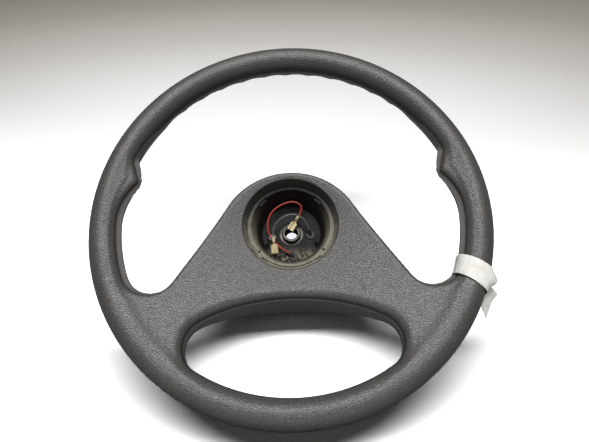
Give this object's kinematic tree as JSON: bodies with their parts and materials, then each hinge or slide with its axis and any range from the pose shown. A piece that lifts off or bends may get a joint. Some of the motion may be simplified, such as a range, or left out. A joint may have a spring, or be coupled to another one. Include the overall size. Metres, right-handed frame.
{
  "type": "car steering wheel",
  "caption": "Two-spoke car steering wheel of moulded foam over a steel ring, dished, with an open hub recess, loose horn wires and tape round the rim",
  "frame": {"origin": "rear end of the column bore, on its axis", "axes": "+Z along the column towards the driver, +Y to the top of the wheel, +X to the driver's right"},
  "size_m": [0.38, 0.38, 0.0934],
  "materials": {
    "foam_skin": "grained skin of moulded polyurethane foam",
    "skeleton_steel": "plain pressed steel",
    "boss_steel": "turned",
    "black_plastic": "dusty",
    "brass": "pressed strip",
    "screw_steel": "zinc plated",
    "bush_rubber": "moulded",
    "red_insulation": "soft insulation",
    "black_insulation": "soft insulation",
    "paper": "creped masking paper"
  },
  "bodies": {
    "root": {"foam_moulding": "foam_skin", "rim_ring": "skeleton_steel", "spoke_arm_right": "skeleton_steel", "spoke_arm_left": "skeleton_steel", "hub_plate": "skeleton_steel", "hub_boss": "boss_steel", "hub_liner": "black_plastic", "contact_carrier": "black_plastic", "slip_ring_outer": "brass", "slip_ring_inner": "brass", "carrier_screw_1": "screw_steel", "carrier_screw_2": "screw_steel", "carrier_screw_3": "screw_steel", "bush_red": "bush_rubber", "bush_black": "bush_rubber", "horn_wire_red": "red_insulation", "horn_wire_black": "black_insulation", "terminal_red": "brass", "terminal_black": "brass", "paper_tape": "paper"}
  },
  "joints": []
}
